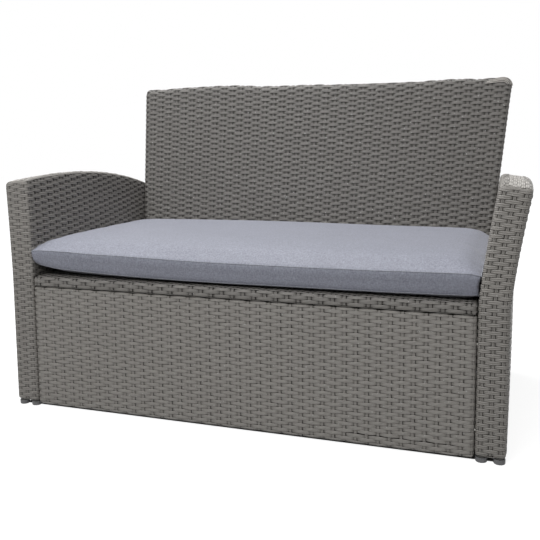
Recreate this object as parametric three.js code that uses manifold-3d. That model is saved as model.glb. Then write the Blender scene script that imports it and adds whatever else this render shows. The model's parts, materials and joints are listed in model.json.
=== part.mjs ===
// Two seat rattan garden sofa: bolted steel tube panels wrapped in woven
// strand, with one loose seat cushion. Millimetres, X right, Y back, Z up.

import * as THREE from 'three';
import { mergeVertices } from 'three/addons/utils/BufferGeometryUtils.js';
import Module from 'manifold-3d';

const wasm = await Module();
wasm.setup();

// Clearances
const touch = 0.3;            // between solids that touch on the real sofa
const wrapGap = 0.6;          // between a bent tube and the weave around it
const jointGap = 1.2;         // between two neighbouring woven panels
const overrun = 3;            // how far a cut runs past the face it opens

// Weave
const weave = 3;              // thickness of the woven strand layer
const wrapRadius = 9;         // rounding where the weave turns over an edge

// Arms, measured to the outside of the weave
const seatSpan = 1057;        // clear width between the arms below the seat
const armThickness = 62;
const armDepth = 642;
const armHem = 12;            // lower edge of the weave above the floor
const armCrown = 579;         // highest point of the arched top
const armCrownPlace = 200;    // how far behind the front face it lies
const armDrop = 53;           // fall of the arch from the crown to the rear
const armTopRound = 12;       // rounding of the top's long edges
const armWiden = 3.5;         // extra thickness at the top
const armTilt = 0.16;         // how steeply its top falls towards the outer side
const armTiltPlace = 8;       // place across that keeps its height
const armBelly = 4.5;         // bulge of the outer face between its tubes
const armFlareFront = 36;     // outward lean at the top of the front edge
const armFlareBack = 23;      // outward lean at the top of the rear edge
const armSweep = 38;          // backward lean at the top of the front edge
const armTube = 19;           // diameter of the bent frame tube
const armBend = 46;           // radius of its corner bends
const armRailTube = 15;       // rails and ties welded between the bent tubes
const flareStart = 322;       // height where the arms begin to lean
const flarePower = 1.3;       // how softly the lean begins

// Seat
const railTop = 331;          // top of the woven front rail
const seatTube = 16.8;
const seatCorner = 7;         // rounding of the rail's ends
const seatBars = 3;
const seatBarTube = 14;       // side rails and the bars between them

// Front panel
const frontHem = 8;
const frontTube = 16.8;
const frontStiles = 2;        // uprights between the two end ones
const frontStileTube = 14;

// Back
const backSetIn = 75;         // front face below the seat, ahead of the arms' rear edge
const backTop = 830;
const backTube = 22;
const backBend = 60;          // radius of the tube's top corners
const reclineStart = 345;     // height where the back begins to recline
const reclineRun = 70;        // height taken by that bend
const reclineRatio = 0.266;   // how far it leans back for each unit of height
const spreadStart = 303;      // height where its sides begin to move out
const spreadRatio = 0.094;    // how far each side moves out for each unit
const backStiles = 2;
const backBarTube = 16;       // stiles and cross rails
const backRailHeight = 560;

// Feet
const capWall = 1.8;
const capHeight = 10;
const capFloor = 3;
const capStem = 16;           // plug that holds the cap in the tube
const capStemWall = 3;        // tube wall left around the plug
const capChamfer = 0.8;

// Bolts and washers
const boltShank = 6;
const boltHead = 11;
const boltHeadHeight = 3.6;
const boltBite = 4;           // how far the bolt passes the tube's middle
const socketAcross = 4;
const socketDepth = 2.2;
const washerAcross = 14;
const washerThickness = 1.2;
const frontBoltInsets = [57, 60];   // from the front panel's hem and from its top
const seatBoltInsets = [120, 117];  // from the arms' front and from the back
const headFlat = 0.6;         // flat top of the head, as a share of its radius
const headRim = 0.4;          // height of its rim, as a share of its height

// Cushion: heights above the seat, and shares along its depth or towards its ends
const cushionEdge = 48;       // height of its front face
const cushionCrown = 91;      // full height of the crowned middle
const cushionRearEdge = 78;   // top of its rear face
const cushionFront = 3;       // front face behind the arms' front
const cushionRearGap = 4;
const cushionSideGap = 2;
const cushionLift = 7;        // rise of the underside at the front edge
const cushionEndRise = 8;     // how much higher the front edge is at its ends
const cushionEndDrop = 6;     // how much lower the crown is at the ends
const cushionTip = 14;        // further rise of the underside at its front corners
const cushionCorner = 34;     // length of the corner's turn along the front
const cushionDraw = 0.7;      // share of that turn by which the faces draw in
const cushionPull = 8;        // how far top and bottom pull in at the end faces
const cushionRise = 0.45;     // share of the depth where the top reaches its crown
const cushionRisePower = 0.6; // how steeply it leaves the front edge
const cushionFall = 0.8;      // share of the depth where the top begins to fall
const cushionStations = [0.985, 0.97, 0.95, 0.9, 0.75, 0.5, 0.25];
const cushionPlaces = [0.03, 0.1, 0.22, 0.4, 0.6, 0.8, 0.93];
const coverWall = 1.6;
const zipLength = 620;
const zipWidth = 14;

// Finish of each material
const finishes = {
  wicker: { color: 0x827e78, roughness: 0.5, metalness: 0 },
  steel: { color: 0x4a4946, roughness: 0.45, metalness: 0.6 },
  zinc: { color: 0xb4b3ae, roughness: 0.35, metalness: 0.9 },
  cap: { color: 0x24231f, roughness: 0.6, metalness: 0 },
  fabric: { color: 0x83869a, roughness: 0.95, metalness: 0 },
  foam: { color: 0xd9d2b8, roughness: 1, metalness: 0 },
  zip: { color: 0x3c3d46, roughness: 0.7, metalness: 0 },
};

// Places worked out from the sizes above
const seatHalf = seatSpan / 2;
const panelThickness = (tube) => tube + 2 * (wrapGap + weave);
const seatThickness = panelThickness(seatTube);
const frontThickness = panelThickness(frontTube);
const backThickness = panelThickness(backTube);
const inset = (tube) => weave + wrapGap + tube / 2;
const armInset = inset(armTube);
const railMiddle = railTop - seatThickness / 2;
const panelHalf = seatHalf - jointGap;
const backPlace = armDepth - backSetIn;
const frontFace = armInset - frontThickness / 2;
const frontTop = railTop - seatThickness - jointGap;
const backMiddle = backPlace + backThickness / 2;
const frontEnd = panelHalf - inset(frontStileTube);
const seatEnd = panelHalf - inset(seatBarTube);
const legBottom = capFloor + touch;

// How far a soft start has got at a height, as a share of its full run
const soft = (z, start, run, power) => Math.max(0, (z - start) / run) ** power;

// Arched top of the arms at a distance behind the front
function armTopAt(y) {
  const share = (y - armCrownPlace) / (armDepth - armCrownPlace);
  return armCrown - armDrop * share * share;
}

// Spread of the back at a height, shared by the rear of the arms
const spreadAt = (z) => spreadRatio * Math.max(0, z - spreadStart);

// Outward lean of an arm's inner face
function flareAt(y, z) {
  const run = armCrown - flareStart;
  const front = armFlareFront * soft(z, flareStart, run, flarePower);
  const rear = Math.max(spreadAt(z), armFlareBack * soft(z, flareStart, run, flarePower));
  const share = Math.min(1, Math.max(0, y / armDepth));
  return front * (1 - share) + rear * share;
}

// A point of the right arm from its place across, along and up
function armPoint(across, y, z) {
  const lean = soft(z, flareStart, armCrown - flareStart, flarePower);
  const behind = y + armSweep * lean * (1 - y / armDepth);
  const out = across * (1 + armWiden / armThickness * lean);
  const fall = armTilt * lean * (across - armTiltPlace);
  return new THREE.Vector3(seatHalf + flareAt(y, z) + out, behind, z - fall);
}

// Bulge of an arm's outer face, none at its edges
function bellyAt(y, z) {
  const along = Math.sin(Math.PI * y / armDepth);
  const up = Math.sin(Math.PI * Math.min(1, Math.max(0, (z - armHem) / (armCrown - armHem))));
  return armBelly * along * Math.sqrt(up);
}

// How far the back's front face has leaned at a height
function reclineAt(z) {
  const past = z - (reclineStart - reclineRun / 2);
  if (past <= 0) return 0;
  if (past < reclineRun) return reclineRatio * past * past / (2 * reclineRun);
  return reclineRatio * (past - reclineRun / 2);
}

// A point of the back from its share across, depth into it and height
function backPoint(side, shy, into, z) {
  const half = panelHalf + spreadAt(z) - shy;
  return new THREE.Vector3(side * half, backPlace + reclineAt(z) + into, z);
}

// Corner radius of a many sided bore whose flats clear a round piece
const clearOf = (radius, sides) => (radius + touch) / Math.cos(Math.PI / sides);

// Evenly spread values from one end to the other, both included
function spread(from, to, count) {
  return Array.from({ length: count }, (_, i) => from + (to - from) * i / (count - 1));
}

// Quarter turn from one face to the next, as shares in and along of its radius
const quarter = (steps) => spread(0, Math.PI / 2, steps + 1)
  .map((angle) => [1 - Math.cos(angle), Math.sin(angle)]);

// Closed solid through rings of points, each of two equal halves that face each
// other, so that its ends are closed by straight rungs between the halves
function loft(rings) {
  const count = rings[0].length;
  const places = rings.flat().flatMap((p) => [p.x, p.y, p.z]);
  const faces = [];
  const quad = (a, b, c, d) => faces.push(a, b, c, a, c, d);
  for (let r = 0; r < rings.length - 1; r += 1) {
    for (let i = 0; i < count; i += 1) {
      const j = (i + 1) % count;
      quad(r * count + i, r * count + j, (r + 1) * count + j, (r + 1) * count + i);
    }
  }
  const last = (rings.length - 1) * count;
  for (let i = 0; i < count / 2 - 1; i += 1) {
    quad(i, count - 1 - i, count - 2 - i, i + 1);
    quad(last + i, last + i + 1, last + count - 2 - i, last + count - 1 - i);
  }
  const geometry = new THREE.BufferGeometry();
  geometry.setAttribute('position', new THREE.Float32BufferAttribute(places, 3));
  geometry.setIndex(faces);
  return facingOut(geometry);
}

// Volume enclosed by a geometry, negative where its faces point in
function signedVolume(geometry) {
  const at = geometry.attributes.position;
  const index = geometry.index;
  const corner = [new THREE.Vector3(), new THREE.Vector3(), new THREE.Vector3()];
  let volume = 0;
  for (let i = 0; i < index.count; i += 3) {
    corner.forEach((c, k) => c.fromBufferAttribute(at, index.getX(i + k)));
    volume += corner[0].dot(corner[1].clone().cross(corner[2])) / 6;
  }
  return volume;
}

function flipped(geometry) {
  const index = Array.from(geometry.index.array);
  for (let i = 0; i < index.length; i += 3) {
    [index[i + 1], index[i + 2]] = [index[i + 2], index[i + 1]];
  }
  geometry.setIndex(index);
  return geometry;
}

const facingOut = (geometry) => (signedVolume(geometry) < 0 ? flipped(geometry) : geometry);

// The same shape on the other side of the sofa
const mirrored = (geometry) => flipped(geometry.clone().scale(-1, 1, 1));

// Conversions between geometries and solids that can be cut and joined
function toSolid(geometry) {
  const bare = geometry.clone();
  bare.deleteAttribute('normal');
  bare.deleteAttribute('uv');
  const merged = mergeVertices(bare);
  const mesh = new wasm.Mesh({
    numProp: 3,
    vertProperties: new Float32Array(merged.attributes.position.array),
    triVerts: new Uint32Array(merged.index.array),
  });
  return new wasm.Manifold(mesh);
}

function toGeometry(solid) {
  const mesh = solid.getMesh();
  const geometry = new THREE.BufferGeometry();
  geometry.setAttribute('position', new THREE.Float32BufferAttribute(mesh.vertProperties, 3));
  geometry.setIndex(Array.from(mesh.triVerts));
  return geometry;
}

const joined = (solids) => solids.reduce((whole, solid) => whole.add(solid));
const cut = (solid, cutters) => cutters.reduce((rest, cutter) => rest.subtract(cutter), solid);

// Sides of the round pieces
const turnSides = 10;
const capSides = 12;
const barSides = 8;

// Round tube through a list of points, with a mitred ring at each
function tube(points, diameter, sides = turnSides) {
  const rings = points.map((point, i) => {
    const before = points[Math.max(0, i - 1)];
    const after = points[Math.min(points.length - 1, i + 1)];
    const along = after.clone().sub(before).normalize();
    const flat = Math.abs(along.x) > 0.9 ? new THREE.Vector3(0, 1, 0) : new THREE.Vector3(1, 0, 0);
    const u = flat.sub(along.clone().multiplyScalar(flat.dot(along))).normalize();
    const v = along.clone().cross(u);
    return Array.from({ length: sides }, (_, k) => {
      const angle = 2 * Math.PI * (k + 0.5) / sides;
      return point.clone()
        .addScaledVector(u, Math.cos(angle) * diameter / 2)
        .addScaledVector(v, Math.sin(angle) * diameter / 2);
    });
  });
  return toSolid(loft(rings));
}

// Quarter turn between two straight runs of a bent tube, as shares of its radius
const bendShares = spread(0, Math.PI / 2, 4).map((a) => [1 - Math.sin(a), 1 - Math.cos(a)]);

// Closed box between two corners
function block(low, high) {
  const size = new THREE.Vector3().subVectors(high, low);
  const geometry = new THREE.BoxGeometry(size.x, size.y, size.z);
  const middle = low.clone().addScaledVector(size, 0.5);
  geometry.translate(middle.x, middle.y, middle.z);
  return toSolid(geometry);
}

// Closed solid of revolution about the Y axis
function revolved(profile, segments) {
  const points = profile.map(([radius, along]) => new THREE.Vector2(radius, along));
  const geometry = new THREE.LatheGeometry(points, segments);
  geometry.deleteAttribute('normal');
  geometry.deleteAttribute('uv');
  return mergeVertices(geometry);
}

// Solid of revolution about the X axis, from a profile of radius and distance
function turned(profile, start) {
  const closed = revolved(profile, turnSides);
  closed.rotateZ(-Math.PI / 2);
  closed.translate(start.x, start.y, start.z);
  return facingOut(closed);
}

// Clearance hole along X through whatever a bolt passes
function drill(place, from, to) {
  const radius = clearOf(boltShank / 2, turnSides);
  const profile = [[0, 0], [radius, 0], [radius, to - from], [0, to - from]];
  return toSolid(turned(profile, new THREE.Vector3(from, place.y, place.z)));
}

// Upper end of the joint between back and arm: where their tubes line up
const armLegPlace = armDepth - armInset;
const upperJoint = (() => {
  const rise = (armLegPlace - backMiddle) / reclineRatio;
  return reclineStart + rise;
})();

// Every bolt on the right side: the middle of its first tube, that tube's
// diameter and the middle of the arm tube that it ends in
const armLegX = seatHalf + armInset;
const frontBoltHeights = [frontHem + frontBoltInsets[0], frontTop - frontBoltInsets[1]];
const seatBoltPlaces = [seatBoltInsets[0], backPlace - seatBoltInsets[1]];
const bolts = [
  ...frontBoltHeights.map((z, i) => ({
    name: `front_panel_bolt_${i + 1}`,
    place: new THREE.Vector3(frontEnd, armInset, z),
    across: frontStileTube,
    end: armLegX,
  })),
  ...seatBoltPlaces.map((y, i) => ({
    name: `seat_bolt_${i + 1}`,
    place: new THREE.Vector3(seatEnd, y, railMiddle),
    across: seatBarTube,
    end: armLegX,
  })),
  ...[railMiddle, upperJoint].map((z, i) => ({
    name: `back_bolt_${i + 1}`,
    place: new THREE.Vector3(
      panelHalf + spreadAt(z) - inset(backTube), backMiddle + reclineAt(z), z),
    across: backTube,
    end: armPoint(armInset, armLegPlace, z).x,
  })),
];
const holes = bolts.map(({ place, across, end }) => {
  const start = place.x - across - overrun;
  return drill(place, start, end + boltBite + touch);
});

// Section of the arm weave at one station, inside its outer face by shy
function armSection(y, pinch, shy, bottom) {
  const round = Math.max(armTopRound - shy, touch);
  const squeeze = Math.max(pinch, 0) + shy;
  const shoulder = armTopAt(y) - shy - round;
  const heights = [bottom, spreadStart / 2, spreadStart, ...spread(flareStart, shoulder, 6)];
  const turn = quarter(4).slice(1).map(([into, up]) => [into * round, shoulder + up * round]);
  const half = [...heights.map((z) => [0, z]), ...turn];
  const near = half.map(([into, z]) => armPoint(squeeze + into, y, z));
  const far = half.map(([into, z]) => {
    const point = armPoint(armThickness - squeeze - into, y, z);
    point.x += bellyAt(y, z);
    return point;
  });
  return [...near, ...far.reverse()];
}

// Whole arm form, shrunk by shy on every side
function armForm(shy, bottom) {
  const round = Math.max(wrapRadius - shy, touch);
  const corner = quarter(2).map(([into, along]) => [into * round, (1 - along) * round]);
  const middle = spread(shy + round, armDepth - shy - round, 11).slice(1, -1);
  const stations = [
    ...corner.map(([along, pinch]) => [shy + along, pinch]),
    ...middle.map((y) => [y, 0]),
    ...corner.map(([along, pinch]) => [armDepth - shy - along, pinch]).reverse(),
  ];
  return toSolid(loft(stations.map(([y, pinch]) => armSection(y, pinch, shy, bottom))));
}

function armWeave() {
  const skin = armForm(0, armHem).subtract(armForm(weave, armHem - overrun));
  return toGeometry(cut(skin, holes));
}

// Centre line of one bent arm tube, from the front foot over the top
function armHoop(across) {
  const near = armInset;
  const far = armDepth - armInset;
  const frontTurn = armTopAt(near) - armInset - armBend;
  const rearTurn = armTopAt(far) - armInset - armBend;
  const legLevels = (to) => [legBottom, spreadStart, flareStart, ...spread(flareStart, to, 4).slice(1, -1)];
  const frontCorner = bendShares.map(([back, up]) => [near + armBend * up, frontTurn + armBend * (1 - back)]);
  const rearCorner = bendShares.map(([back, up]) => [far - armBend * up, rearTurn + armBend * (1 - back)]);
  const top = spread(near + armBend, far - armBend, 7).slice(1, -1);
  return [
    ...legLevels(frontTurn).map((z) => [near, z]),
    ...frontCorner,
    ...top.map((y) => [y, armTopAt(y) - armInset]),
    ...rearCorner.reverse(),
    ...legLevels(rearTurn).reverse().map((z) => [far, z]),
  ].map(([y, z]) => armPoint(across, y, z));
}

// Straight tube between two places in the arm
function armTie(from, to) {
  return tube([armPoint(...from), armPoint(...to)], armRailTube, barSides);
}

function armFrame() {
  const near = armInset;
  const far = armThickness - armInset;
  const rear = armDepth - armInset;
  const low = armHem + armInset;
  const topTies = spread(near, rear, 4).slice(1, -1);
  const bores = [near, far].flatMap((across) => [near, rear].map((y) => {
    const foot = armPoint(across, y, legBottom - overrun);
    const end = foot.clone().setZ(legBottom + capStem + touch);
    return tube([foot, end], 2 * clearOf(armTube / 2 - capStemWall - touch, turnSides));
  }));
  const solids = [
    ...[near, far].map((across) => tube(armHoop(across), armTube)),
    ...[near, far].map((across) => armTie([across, near, low], [across, rear, low])),
    armTie([near, near, railMiddle], [near, rear, railMiddle]),
    ...[near, rear].flatMap((y) => [low, railMiddle].map((z) => armTie([near, y, z], [far, y, z]))),
    ...topTies.map((y) => {
      const z = armTopAt(y) - armInset;
      return armTie([near, y, z], [far, y, z]);
    }),
  ];
  return toGeometry(cut(joined(solids), [...bores, ...holes]));
}

// Ring of a flat panel's section, its corners rounded by the wrapped weave
function panelRing(corner, half, thickness, round) {
  const front = quarter(2).map(([into, along]) => [-half + into * round, (1 - along) * round]);
  const across = [...front, ...front.map(([x, into]) => [-x, into]).reverse()];
  const rear = across.map(([x, into]) => [x, thickness - into]).reverse();
  return [...across, ...rear].map(([x, into]) => corner(x, into));
}

// Back form, shrunk by shy on every side
function backForm(shy, bottom) {
  const round = Math.max(wrapRadius - shy, touch);
  const top = backTop - shy;
  const bendFrom = reclineStart - reclineRun / 2;
  const levels = [
    [bottom, 0],
    ...spread(bendFrom, bendFrom + reclineRun, 5).map((z) => [z, 0]),
    ...quarter(2).map(([into, up]) => [top - round + up * round, into]),
  ];
  return toSolid(loft(levels.map(([z, pinch]) => {
    const half = panelHalf + spreadAt(z) - shy - pinch * round;
    const thickness = backThickness - 2 * shy - 2 * pinch * round;
    const edge = Math.min(round, thickness / 3); // three parts: edge, flat, edge
    const start = backPlace + reclineAt(z) + shy + pinch * round;
    return panelRing((x, into) => new THREE.Vector3(x, start + into, z), half, thickness, edge);
  })));
}

const mirroredHoles = holes.map((hole) => toSolid(mirrored(toGeometry(hole))));
const allHoles = [...holes, ...mirroredHoles];

function backWeave() {
  const skin = backForm(0, armHem).subtract(backForm(weave, armHem - overrun));
  return toGeometry(cut(skin, allHoles));
}

function backFrame() {
  const shy = inset(backTube);
  const middle = backThickness / 2;
  const low = armHem + shy;
  const top = backTop - shy;
  const bendFrom = reclineStart - reclineRun / 2;
  const rise = [armHem + touch, ...spread(bendFrom, bendFrom + reclineRun, 5)];
  const side = rise.map((z) => backPoint(1, shy, middle, z));
  const corner = bendShares.map(([back, up]) => {
    const z = top - backBend + backBend * (1 - back);
    const point = backPoint(1, shy, middle, z);
    point.x -= backBend * up;
    return point;
  });
  const half = [...side, ...corner];
  const other = half.map((p) => p.clone().setX(-p.x)).reverse();
  const rail = (z) => tube([-1, 1].map((s) => backPoint(s, shy, middle, z)), backBarTube, barSides);
  const stiles = spread(-panelHalf, panelHalf, backStiles + 2).slice(1, -1).map((x) => {
    const heights = [low, ...rise.slice(1), top];
    return tube(heights.map((z) => backPoint(1, shy, middle, z).setX(x)), backBarTube, barSides);
  });
  const solids = [tube([...half, ...other], backTube), rail(low), rail(backRailHeight), ...stiles];
  return toGeometry(cut(joined(solids), allHoles));
}

// Front panel form: a plain upright box with rounded edges
function frontForm(shy, bottom) {
  const round = Math.max(wrapRadius - shy, touch);
  const top = frontTop - shy;
  const edge = (frontThickness - 2 * shy) / 3; // three parts: edge, flat, edge
  const levels = [[bottom, 0], [top - edge, 0], [top, edge]];
  return toSolid(loft(levels.map(([z, pinch]) => {
    const thickness = frontThickness - 2 * shy - 2 * pinch;
    const start = frontFace + shy + pinch;
    const ring = (x, into) => new THREE.Vector3(x, start + into, z);
    return panelRing(ring, panelHalf - shy - pinch, thickness, Math.min(round, thickness / 3));
  })));
}

function frontWeave() {
  const skin = frontForm(0, frontHem).subtract(frontForm(weave, frontHem - overrun));
  return toGeometry(cut(skin, allHoles));
}

function frontFrame() {
  const shy = inset(frontTube);
  const half = panelHalf - Math.max(wrapRadius, weave) - wrapGap;
  const low = frontHem + shy;
  const top = frontTop - shy;
  const at = (x, z) => new THREE.Vector3(x, armInset, z);
  const stiles = spread(-frontEnd, frontEnd, frontStiles + 2);
  const rails = [low, top].map((z) => tube([at(-half, z), at(half, z)], frontTube));
  const solids = [...rails, ...stiles.map((x) => tube([at(x, low), at(x, top)], frontStileTube, barSides))];
  return toGeometry(cut(joined(solids), allHoles));
}

// Seat weave: a tray turned over, wrapped round the rails of its frame
function seatWeave() {
  const rear = backPlace - jointGap;
  const under = railTop - seatThickness;
  const plate = (shy, low, high) => {
    const half = panelHalf - shy;
    const round = Math.max(seatCorner - shy, touch);
    const depth = rear - 2 * shy;
    const point = (z) => (x, into) => new THREE.Vector3(x, shy + into, z);
    return toSolid(loft([low, high].map((z) => panelRing(point(z), half, depth, round))));
  };
  const lip = seatThickness;
  const skin = plate(0, under, railTop)
    .subtract(plate(weave, under + weave, railTop - weave))
    .subtract(plate(lip, under - overrun, under + weave + touch));
  return toGeometry(cut(skin, allHoles));
}

function seatFrame() {
  const shy = inset(seatTube);
  const half = panelHalf - Math.max(seatCorner, weave) - wrapGap;
  const rear = backPlace - jointGap - shy;
  const at = (x, y) => new THREE.Vector3(x, y, railMiddle);
  const bars = spread(-seatEnd, seatEnd, seatBars + 2);
  const solids = [
    ...[shy, rear].map((y) => tube([at(-half, y), at(half, y)], seatTube)),
    ...bars.map((x) => tube([at(x, shy), at(x, rear)], seatBarTube, barSides)),
  ];
  return toGeometry(cut(joined(solids), allHoles));
}

// Foot cap: a cup under the tube end with a plug up inside it
function footCap(place) {
  const bore = clearOf(armTube / 2, capSides);
  const outer = bore + capWall;
  const stem = armTube / 2 - capStemWall - touch;
  const profile = [
    [0, 0], [outer - capChamfer, 0], [outer, capChamfer], [outer, capHeight],
    [bore, capHeight], [bore, capFloor], [stem, capFloor], [stem, legBottom + capStem], [0, legBottom + capStem],
  ];
  const cap = revolved(profile, capSides);
  cap.rotateX(Math.PI / 2);
  cap.translate(place.x, place.y, 0);
  return facingOut(cap);
}

// Button head bolt with a hexagon socket, its head on the inner side
function boltSolid({ place, across, end }) {
  const seat = place.x - across / 2 - touch - washerThickness - touch;
  const length = end + boltBite - seat;
  const radius = boltShank / 2;
  const head = boltHead / 2;
  const profile = [
    [0, -boltHeadHeight], [head * headFlat, -boltHeadHeight], [head, -boltHeadHeight * headRim], [head, 0],
    [radius, 0], [radius, length], [0, length],
  ];
  const body = toSolid(turned(profile, new THREE.Vector3(seat, place.y, place.z)));
  const socket = new THREE.CylinderGeometry(socketAcross / 2, socketAcross / 2, socketDepth * 2, 6);
  socket.rotateZ(Math.PI / 2);
  socket.translate(seat - boltHeadHeight, place.y, place.z);
  return toGeometry(body.subtract(toSolid(socket)));
}

function washerSolid({ place, across }) {
  const inner = clearOf(boltShank / 2, turnSides);
  const outer = washerAcross / 2;
  const profile = [[inner, 0], [outer, 0], [outer, washerThickness], [inner, washerThickness], [inner, 0]];
  const start = place.x - across / 2 - touch - washerThickness;
  return turned(profile, new THREE.Vector3(start, place.y, place.z));
}

// Cushion section at a share across, from -1 at the left to 1 at the right
function cushionSection(share, shy) {
  const half = seatHalf - cushionSideGap - shy;
  const out = Math.abs(share);
  const turn = Math.max(0, 1 - (1 - out) * half / cushionCorner);
  const drawn = cushionCorner * cushionDraw * (1 - Math.sqrt(1 - turn * turn));
  const front = cushionFront + drawn + shy;
  const rear = backPlace - cushionRearGap - drawn - shy;
  const floor = railTop + touch;
  const pull = cushionPull * turn * turn;
  const lift = floor + cushionLift + cushionEndRise * out * out;
  const lowFront = lift + cushionTip * turn * turn;
  const highFront = lift + cushionEdge - pull;
  const crown = floor + cushionCrown - cushionEndDrop * out ** 4 - pull;
  const highRear = floor + cushionRearEdge - pull;
  const topAt = (along) => {
    const up = Math.sin(Math.PI / 2 * Math.min(1, along / cushionRise)) ** cushionRisePower;
    const down = Math.max(0, (along - cushionFall) / (1 - cushionFall)) ** 2;
    return highFront + (crown - highFront) * up - (crown - highRear) * down;
  };
  const places = [0, ...cushionPlaces, 1];
  const over = places.map((along) => [along, topAt(along) - shy]);
  const under = places.map((along, i) => {
    const ends = { 0: lowFront, [places.length - 1]: floor + cushionLift + pull };
    return [along, (ends[i] ?? floor + pull) + shy];
  });
  const at = ([along, z]) => {
    const y = front + along * (rear - front);
    const lean = Math.sign(share) * flareAt(y, z) * out ** 4;
    return new THREE.Vector3(share * half + lean, y, z);
  };
  return [...under.map(at), ...over.map(at).reverse()];
}

function cushionForm(shy) {
  const ends = [1, ...cushionStations];
  const shares = [...ends.map((share) => -share), 0, ...ends.reverse()];
  return toSolid(loft(shares.map((share) => cushionSection(share, shy))));
}

const cushionRear = backPlace - cushionRearGap;
const zipHeight = railTop + touch + cushionRearEdge / 2;

function zipBlock(length, width, from, to) {
  return block(
    new THREE.Vector3(-length / 2, from, zipHeight - width / 2),
    new THREE.Vector3(length / 2, to, zipHeight + width / 2));
}

function cushionCover() {
  const slot = zipBlock(
    zipLength + 2 * touch, zipWidth + 2 * touch, cushionRear - coverWall - overrun, cushionRear + overrun);
  return toGeometry(cushionForm(0).subtract(cushionForm(coverWall)).subtract(slot));
}

const cushionFoam = () => toGeometry(cushionForm(coverWall + touch));
const cushionZip = () => toGeometry(zipBlock(zipLength, zipWidth, cushionRear - coverWall, cushionRear));

// The sofa as a scene graph of named pieces
const sofa = new THREE.Group();

function add(parent, name, geometry, finish) {
  const bare = mergeVertices(geometry);
  bare.computeVertexNormals();
  const mesh = new THREE.Mesh(bare, new THREE.MeshStandardMaterial(finishes[finish]));
  mesh.name = name;
  parent.add(mesh);
}

const footPlaces = [
  ['front', 'inner', armPoint(armInset, armInset, 0)],
  ['front', 'outer', armPoint(armThickness - armInset, armInset, 0)],
  ['rear', 'inner', armPoint(armInset, armDepth - armInset, 0)],
  ['rear', 'outer', armPoint(armThickness - armInset, armDepth - armInset, 0)],
];

for (const [side, place] of [['right', (g) => g], ['left', mirrored]]) {
  const arm = new THREE.Group();
  add(arm, `${side}_arm_frame`, place(armFrame()), 'steel');
  add(arm, `${side}_arm_weave`, place(armWeave()), 'wicker');
  for (const [end, row, foot] of footPlaces) {
    add(arm, `${side}_${end}_${row}_foot_cap`, place(footCap(foot)), 'cap');
  }
  for (const bolt of bolts) {
    add(arm, `${side}_${bolt.name}`, place(boltSolid(bolt)), 'zinc');
    add(arm, `${side}_${bolt.name.replace('bolt', 'washer')}`, place(washerSolid(bolt)), 'zinc');
  }
  sofa.add(arm);
}

add(sofa, 'seat_frame', seatFrame(), 'steel');
add(sofa, 'seat_weave', seatWeave(), 'wicker');
add(sofa, 'front_panel_frame', frontFrame(), 'steel');
add(sofa, 'front_panel_weave', frontWeave(), 'wicker');
add(sofa, 'back_frame', backFrame(), 'steel');
add(sofa, 'back_weave', backWeave(), 'wicker');

const cushion = new THREE.Group();
add(cushion, 'cushion_cover', cushionCover(), 'fabric');
add(cushion, 'cushion_foam', cushionFoam(), 'foam');
add(cushion, 'cushion_zip', cushionZip(), 'zip');
sofa.add(cushion);

// Origin at the middle of the footprint, on the floor
const bounds = new THREE.Box3().setFromObject(sofa);
sofa.position.y = -(bounds.min.y + bounds.max.y) / 2;
sofa.updateMatrixWorld(true);

export default sofa;
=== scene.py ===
import json
from math import cos, pi, radians, sin

import bmesh
import bpy
import numpy as np
from mathutils import Matrix, Vector
from mathutils.bvhtree import BVHTree
from mathutils.kdtree import KDTree


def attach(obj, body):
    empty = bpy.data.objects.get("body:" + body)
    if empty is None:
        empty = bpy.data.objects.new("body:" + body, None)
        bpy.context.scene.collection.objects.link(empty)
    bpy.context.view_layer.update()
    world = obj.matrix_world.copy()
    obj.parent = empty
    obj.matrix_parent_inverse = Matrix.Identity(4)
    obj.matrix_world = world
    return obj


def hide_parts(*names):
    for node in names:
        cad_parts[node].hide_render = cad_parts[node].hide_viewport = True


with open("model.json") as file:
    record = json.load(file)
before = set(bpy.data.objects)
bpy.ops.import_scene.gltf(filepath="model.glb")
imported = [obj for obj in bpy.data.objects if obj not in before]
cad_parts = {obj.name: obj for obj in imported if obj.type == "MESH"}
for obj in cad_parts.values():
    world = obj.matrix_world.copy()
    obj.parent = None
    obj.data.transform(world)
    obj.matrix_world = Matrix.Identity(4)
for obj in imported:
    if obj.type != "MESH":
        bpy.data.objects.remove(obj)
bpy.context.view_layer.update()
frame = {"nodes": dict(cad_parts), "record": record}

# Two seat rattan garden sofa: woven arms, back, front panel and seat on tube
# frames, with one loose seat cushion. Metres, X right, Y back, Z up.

mm = 0.001

# Camera, fitted to the photograph of 540 x 540 pixels
FRAME_PIXELS = 540
FOCAL_PIXELS = 719.805
PRINCIPAL = (270.406, 225.833)
YAW, PITCH, ROLL = 0.326541342, 0.116518094, -0.00803046
FRONT_PLANE = -361.408 * mm          # the arms' front faces
CAMERA_AT = (588.508 * mm, -1466.495 * mm + FRONT_PLANE, 656.646 * mm)

# Sizes shared with the tube frames, in millimetres
SEAT_HALF = 528.5
PANEL_HALF = 527.3
ARM_THICK = 62.0
ARM_DEPTH = 642.0
ARM_HEM = 12.0
ARM_CROWN = 579.0
ARM_CROWN_PLACE = 200.0
ARM_DROP = 53.0
ARM_TOP_ROUND = 12.0
ARM_WIDEN = 3.5
ARM_BELLY = 4.5
ARM_FLARE_FRONT = 36.0
ARM_FLARE_BACK = 23.0
ARM_SWEEP = 38.0
ARM_TILT = 0.16
ARM_TILT_PLACE = 8.0
FLARE_START = 322.0
FLARE_POWER = 1.3
RAIL_TOP = 331.0
SEAT_THICK = 24.0
FRONT_HEM = 8.0
FRONT_TOP = 305.8
FRONT_FACE = 1.1
FRONT_THICK = 24.0
BACK_PLACE = 567.0
BACK_TOP = 830.0
BACK_THICK = 29.2
RECLINE_START = 345.0
RECLINE_RUN = 70.0
RECLINE_RATIO = 0.266
SPREAD_START = 303.0
SPREAD_RATIO = 0.094
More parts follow.
